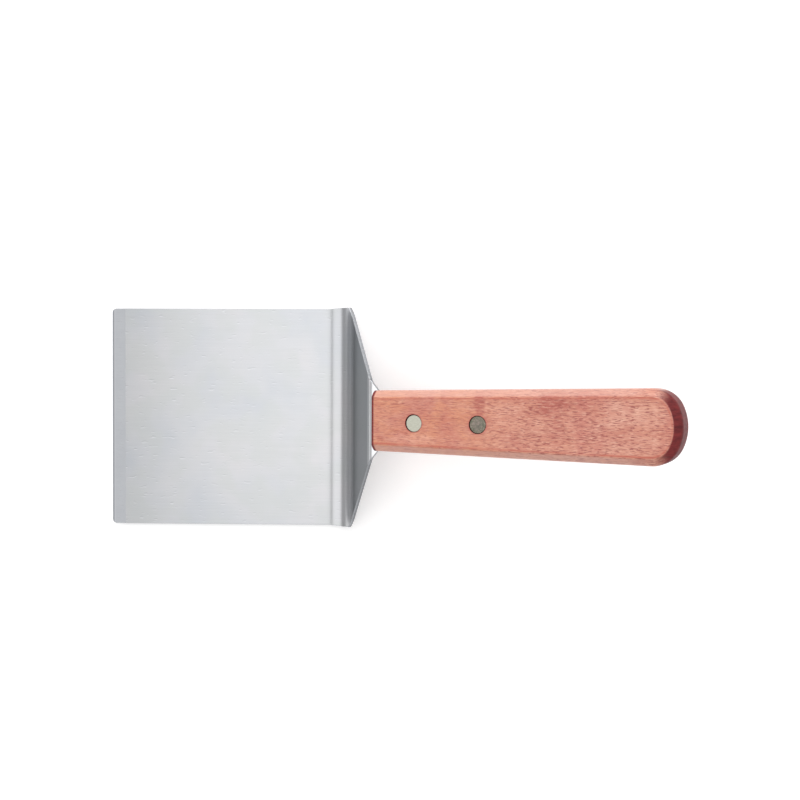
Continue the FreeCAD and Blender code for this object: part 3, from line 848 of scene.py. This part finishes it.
def ground_steel():
    """Ground bevel: finer marks that run from the edge back into the blade."""
    n = Nodes("ground_steel")
    uv = n.add("ShaderNodeUVMap", uv_map="flat_sheet").outputs["UV"]
    marks = n.noise(uv, 1.0, (7000, 160, 1), 3.0, 0.6)
    waves = n.noise(uv, 1.0, (110, 70, 1), 2.0, 0.5)
    along = n.add("ShaderNodeSeparateXYZ")
    n.link(uv, along.inputs["Vector"])
    tone = n.mix(n.span(marks, 0.3, 0.7), srgb(160, 162, 166), srgb(171, 173, 176))
    tone = n.mix(n.span(waves, 0.35, 0.65, 0.0, 0.4), tone, srgb(158, 160, 165))
    # painted shade: a dark band along the cutting edge stands in for the edge land seen in shade
    edge_land_shade = n.ramp(n.span(along.outputs["Y"], 0.0, 1.2 * MM),
                  [(0.0, 0.9), (0.25, 0.55), (0.45, 0.0), (1.0, 0.0)])
    shine = n.ramp(n.span(along.outputs["Y"], 0.0, 2.0 * MM),
                   [(0.30, 0.0), (0.42, 0.4), (0.60, 0.0)])
    tone = n.mix(edge_land_shade, tone, srgb(124, 126, 132))
    tone = n.mix(shine, tone, srgb(184, 186, 189))
    n.link(tone, n.shader.inputs["Base Color"])
    n.link(n.span(marks, 0.25, 0.75, 0.26, 0.36), n.shader.inputs["Roughness"])
    n.link(n.bump(marks, 0.25, 0.003 * MM), n.shader.inputs["Normal"])
    n.set(Metallic=1.0)
    return n.material


def sheared_steel():
    """Cut edge of the sheet: a bright burnished band on top and a torn, greyer band below."""
    n = Nodes("sheared_steel")
    uv = n.add("ShaderNodeUVMap", uv_map="cut_edge").outputs["UV"]
    place = n.add("ShaderNodeTexCoord").outputs["Object"]
    torn = n.noise(place, 3200, (1, 1, 1), 3.0, 0.6)
    drag = n.noise(uv, 1.0, (2600, 1.2, 1), 3.0, 0.6)
    ragged = n.noise(uv, 1.0, (900, 0.3, 1), 3.0, 0.6)
    height = n.add("ShaderNodeSeparateXYZ")
    n.link(uv, height.inputs["Vector"])
    level = n.math("ADD", height.outputs["Y"], n.span(ragged, 0.25, 0.75, -0.16, 0.16))
    burnished = n.span(level, 0.48, 0.60, smooth=True)
    dull = n.mix(n.span(torn, 0.35, 0.65), srgb(128, 130, 134), srgb(168, 170, 173))
    bright = n.mix(n.span(drag, 0.35, 0.65), srgb(156, 158, 162), srgb(176, 178, 181))
    n.link(n.mix(burnished, dull, bright), n.shader.inputs["Base Color"])
    n.link(n.span(burnished, 0.0, 1.0, 0.48, 0.30), n.shader.inputs["Roughness"])
    rough = n.bump(torn, 0.5, 0.02 * MM)
    n.link(n.bump(drag, 0.3, 0.01 * MM, rough), n.shader.inputs["Normal"])
    n.set(Metallic=1.0)
    return n.material


def hardwood():
    """Reddish sanded hardwood: curly short fibres, open pores, dark figure, darker end grain,
    painted sheen on the bevels and walls and partly painted shade at the front edge.
    """
    n = Nodes("hardwood")
    place = n.along_grain()
    axes = n.add("ShaderNodeSeparateXYZ")
    n.link(place, axes.inputs["Vector"])
    along = axes.outputs["X"]
    bands = n.noise(place, 1.0, (16, 95, 95), 4.0, 0.6, 0.8)
    colour = n.ramp(bands, [(0.30, srgb(184, 112, 94)), (0.44, srgb(200, 133, 112)),
                            (0.56, srgb(208, 146, 125)), (0.72, srgb(220, 166, 145))])
    amber = n.span(along, 34 * MM, 66 * MM, 0.75, 0.15, smooth=True)
    ambers = n.span(n.noise(place, 1.0, (55, 110, 90), 3.0, 0.6, 0.6), 0.40, 0.58, 0.25, 1.0)
    colour = n.mix(n.math("MULTIPLY", amber, ambers), colour, srgb(212, 140, 104))
    # figure: patches that lie across the grain, two of them strong
    streaks = n.span(n.noise(place, 1.0, (170, 1100, 1100), 3.0, 0.6, 0.4), 0.38, 0.60, 0.35, 1.0)
    figure = n.ramp(n.noise(place, 1.0, (95, 38, 60), 3.0, 0.6, 0.5), [(0.50, 0.0), (0.66, 1.0)])
    colour = n.mix(n.math("MULTIPLY", figure, 0.42), colour, srgb(186, 102, 92))
    for patches, patch_colour in ((DARK_PATCHES, srgb(168, 80, 68)),
                                  (PALE_PATCHES, srgb(232, 176, 154))):
        for x, y, length, width, strength in patches:
            patch = n.spot(place, (x, y, 8.0), (length, width, 12.0), strength)
            colour = n.mix(n.math("MULTIPLY", patch, streaks), colour, patch_colour)
    # fibres and pores, denser and curlier towards the butt
    curl = n.noise(place, 1.0, (90, 200, 200), 2.0, 0.5)
    waved = n.swayed(place, curl, 0.9 * MM)
    dense = n.span(along, 40 * MM, 68 * MM, 0.55, 1.0, smooth=True)
    fibres = n.noise(waved, 1.0, (280, 2300, 2300), 4.0, 0.65)
    light_fibres = n.ramp(n.noise(waved, 1.0, (330, 2000, 2000), 2.0, 0.6),
                          [(0.52, 0.0), (0.66, 1.0)])
    colour = n.mix(n.math("MULTIPLY", n.span(fibres, 0.42, 0.60), 0.40), colour, srgb(178, 98, 88))
    colour = n.mix(n.math("MULTIPLY", n.math("MULTIPLY", light_fibres, dense), 0.45), colour,
                   srgb(230, 182, 160))
    pores = n.ramp(n.noise(waved, 1.0, (400, 2600, 2600), 2.0, 0.55), [(0.55, 0.0), (0.61, 1.0)])
    pores = n.math("MULTIPLY", pores, dense)
    colour = n.mix(n.math("MULTIPLY", pores, 0.75), colour, srgb(144, 64, 60))
    long_pores = n.ramp(n.noise(waved, 1.0, (120, 1600, 1600), 3.0, 0.55),
                        [(0.62, 0.0), (0.68, 1.0)])
    colour = n.mix(n.math("MULTIPLY", long_pores, 0.50), colour, srgb(150, 72, 62))
    # darker line along the crease beside the flat, painted sheen on the bevels and walls, and
    # darker open end grain where the finish gathers
    run = n.add("ShaderNodeSeparateXYZ")
    n.link(n.add("ShaderNodeUVMap", uv_map="profile").outputs["UV"], run.inputs["Vector"])
    crease = n.ramp(n.span(run.outputs["Y"], -0.9 * MM, 1.1 * MM),
                    [(0.28, 0.0), (0.44, 1.0), (0.58, 0.7), (0.80, 0.0)])
    uneven = n.span(n.noise(place, 1.0, (60, 200, 200), 3.0, 0.6), 0.38, 0.60, 0.30, 1.0)
    # painted sheen: the bevels and walls are paled, fading out before the butt, for a soft gloss
    # reflection
    painted_bevel_sheen = n.span(run.outputs["Y"], -1.2 * MM, -0.5 * MM, 0.38, 0.0, smooth=True)
    painted_bevel_sheen = n.math("MULTIPLY", painted_bevel_sheen, n.span(along, 104 * MM, 117 * MM, 1.0, 0.0, smooth=True))
    colour = n.mix(painted_bevel_sheen, colour, srgb(214, 170, 156))
    colour = n.mix(n.math("MULTIPLY", crease, uneven), colour, srgb(186, 96, 76))
    for row, radius, width, strength in (("rear", 4.15, 0.9, 0.6), ("front", 3.9, 0.45, 0.5)):
        halo = n.ring(place, RIVET_PLACES[row], radius * MM, width * MM)
        colour = n.mix(n.math("MULTIPLY", halo, strength), colour, srgb(170, 78, 72))
    facing = n.add("ShaderNodeVectorMath", operation="DOT_PRODUCT")
    n.link(n.add("ShaderNodeNewGeometry").outputs["Normal"], facing.inputs[0])
    facing.inputs[1].default_value = GRIP_AXIS
    end = n.span(n.math("ABSOLUTE", facing.outputs["Value"]), 0.08, 0.55, smooth=True)
    # partly painted shade: the front face's end grain is dark in its own right, and the dark is
    # carried about a millimetre onto the top face to stand in for the shaded front chamfer
    end = n.math("MAXIMUM", end, n.span(along, 0.8 * MM, 1.6 * MM, 1.0, 0.0, smooth=True))
    end_rings = n.noise(place, 1.0, (200, 700, 260), 4.0, 0.65, 0.4)
    end_colour = n.mix(n.span(end_rings, 0.35, 0.65), srgb(92, 20, 24), srgb(128, 40, 40))
    colour = n.mix(end, colour, end_colour)
    n.link(colour, n.shader.inputs["Base Color"])
    polish = n.span(fibres, 0.3, 0.7, 0.32, 0.44)
    n.link(n.math("MAXIMUM", polish, n.math("MULTIPLY", end, 0.85)), n.shader.inputs["Roughness"])
    grain = n.bump(fibres, 0.25, 0.05 * MM)
    n.link(n.bump(n.math("MULTIPLY", pores, -1.0), 0.5, 0.08 * MM, grain),
           n.shader.inputs["Normal"])
    n.set(Specular_IOR_Level=0.4, Coat_Weight=0.22, Coat_Roughness=0.36)
    return n.material


def bright_rivet():
    """Plated head, sanded bright across the tool."""
    n = Nodes("bright_rivet")
    place = n.add("ShaderNodeTexCoord").outputs["Object"]
    scratches = n.noise(place, 1.0, (700, 5200, 900), 3.0, 0.6)
    tone = n.mix(n.span(scratches, 0.35, 0.65), srgb(168, 168, 154), srgb(188, 188, 175))
    n.link(tone, n.shader.inputs["Base Color"])
    n.link(n.span(scratches, 0.3, 0.7, 0.30, 0.42), n.shader.inputs["Roughness"])
    n.link(n.bump(scratches, 0.3, 0.01 * MM), n.shader.inputs["Normal"])
    n.set(Metallic=1.0)
    return n.material


def dull_rivet_painted_shade():
    """Plated head, gone dull and speckled with use; its darker tone is partly painted shade, for
    the darker reflection this head shows.
    """
    n = Nodes("dull_rivet_painted_shade")
    place = n.add("ShaderNodeTexCoord").outputs["Object"]
    specks = n.noise(place, 1000, (1, 1, 1), 4.0, 0.75)
    tone = n.ramp(specks, [(0.34, srgb(78, 82, 70)), (0.47, srgb(122, 122, 106)),
                           (0.56, srgb(140, 130, 118)), (0.66, srgb(176, 166, 156))])
    centre = n.ring(n.along_grain(), RIVET_PLACES["rear"], 2.2 * MM, 0.9 * MM)
    tone = n.mix(n.math("MULTIPLY", centre, 0.25), tone, srgb(152, 134, 134))
    n.link(tone, n.shader.inputs["Base Color"])
    n.link(n.span(specks, 0.3, 0.7, 0.45, 0.65), n.shader.inputs["Roughness"])
    n.link(n.bump(specks, 0.4, 0.03 * MM), n.shader.inputs["Normal"])
    n.set(Metallic=1.0)
    return n.material


def floor_paint():
    """Matt white, with a little light of its own so that it reads as white."""
    n = Nodes("floor_paint")
    n.set(Base_Color=(0.92, 0.92, 0.92, 1), Roughness=0.9, Specular_IOR_Level=0.1,
          Emission_Color=(1, 1, 1, 1), Emission_Strength=0.24)
    return n.material


# ---------------------------------------------------------------- studio

def make_floor():
    """The plain pale floor, just below the blade."""
    corners = [(-FLOOR_HALF, -FLOOR_HALF, 0), (FLOOR_HALF, -FLOOR_HALF, 0),
               (FLOOR_HALF, FLOOR_HALF, 0), (-FLOOR_HALF, FLOOR_HALF, 0)]
    mesh = mesh_from(corners, [(0, 1, 2, 3)], "floor")
    floor = bpy.data.objects.new("floor", mesh)
    mesh.materials.append(floor_paint())
    bpy.context.scene.collection.objects.link(floor)
    floor.location.z = -FLOOR_DROP


def softbox(name, side, low, high, length, radiance, slide=0.0):
    """A soft lamp that spans two angles in degrees from straight up, towards one side.

    Its length runs across that side, and slides along +Y by the last value.
    """
    box_low, box_high = CAD_BOX
    aim = (Vector(box_low) + Vector(box_high)) / 2
    middle, half = math.radians((low + high) / 2), math.radians((high - low) / 2)
    away = Vector((0, 0, math.cos(middle))) + math.sin(middle) * Vector(side)
    edge = away.cross(Vector(side)).normalized()
    depth = 2 * LAMP_DISTANCE * math.tan(half)
    lamp = bpy.data.lights.new(name, "AREA")
    lamp.shape = "RECTANGLE"
    lamp.size, lamp.size_y = length, depth
    lamp.energy = radiance * math.pi * length * depth
    holder = bpy.data.objects.new(name, lamp)
    middle_point = aim + away * LAMP_DISTANCE + Vector((0, slide, 0))
    holder.matrix_world = Matrix.Translation(middle_point) @ Matrix(
        (edge, away.cross(edge), away)).transposed().to_4x4()
    holder.visible_camera = False
    bpy.context.scene.collection.objects.link(holder)


def make_light():
    """A white surround and three soft lamps."""
    world = bpy.data.worlds.new("studio")
    bpy.context.scene.world = world
    world.use_nodes = True
    surround = world.node_tree.nodes["Background"]
    surround.inputs["Color"].default_value = (1, 1, 1, 1)
    surround.inputs["Strength"].default_value = WORLD_STRENGTH
    towards_edge, towards_left_side = (-1, 0, 0), (0, 1, 0)
    softbox("overhead", towards_edge, -36, 18.5, 1.84, 1.035, slide=0.46)
    softbox("edge_box", towards_edge, 26, 66, 2.0, 0.92)
    softbox("key", towards_left_side, 52, 84, 1.0, 3.6)


def make_camera():
    """Looking down from half a metre, a little askew, as a hand-placed camera does."""
    camera = bpy.data.cameras.new("camera")
    camera.sensor_width = CAMERA_SENSOR
    camera.lens = CAMERA_LENS
    camera.clip_start = 0.01
    holder = bpy.data.objects.new("camera", camera)
    turn = CAMERA_TURN.to_matrix().to_4x4()
    back = Matrix.Translation((0, 0, CAMERA_DISTANCE))
    holder.matrix_world = Matrix.Translation(CAMERA_AIM) @ turn @ back
    bpy.context.scene.collection.objects.link(holder)
    bpy.context.scene.camera = holder


# ---------------------------------------------------------------- scene

make_blade()
make_handle()
make_rivet("front", bright_rivet())
make_rivet("rear", dull_rivet_painted_shade())
make_floor()
make_light()
make_camera()
bpy.context.scene.view_settings.view_transform = "Standard"
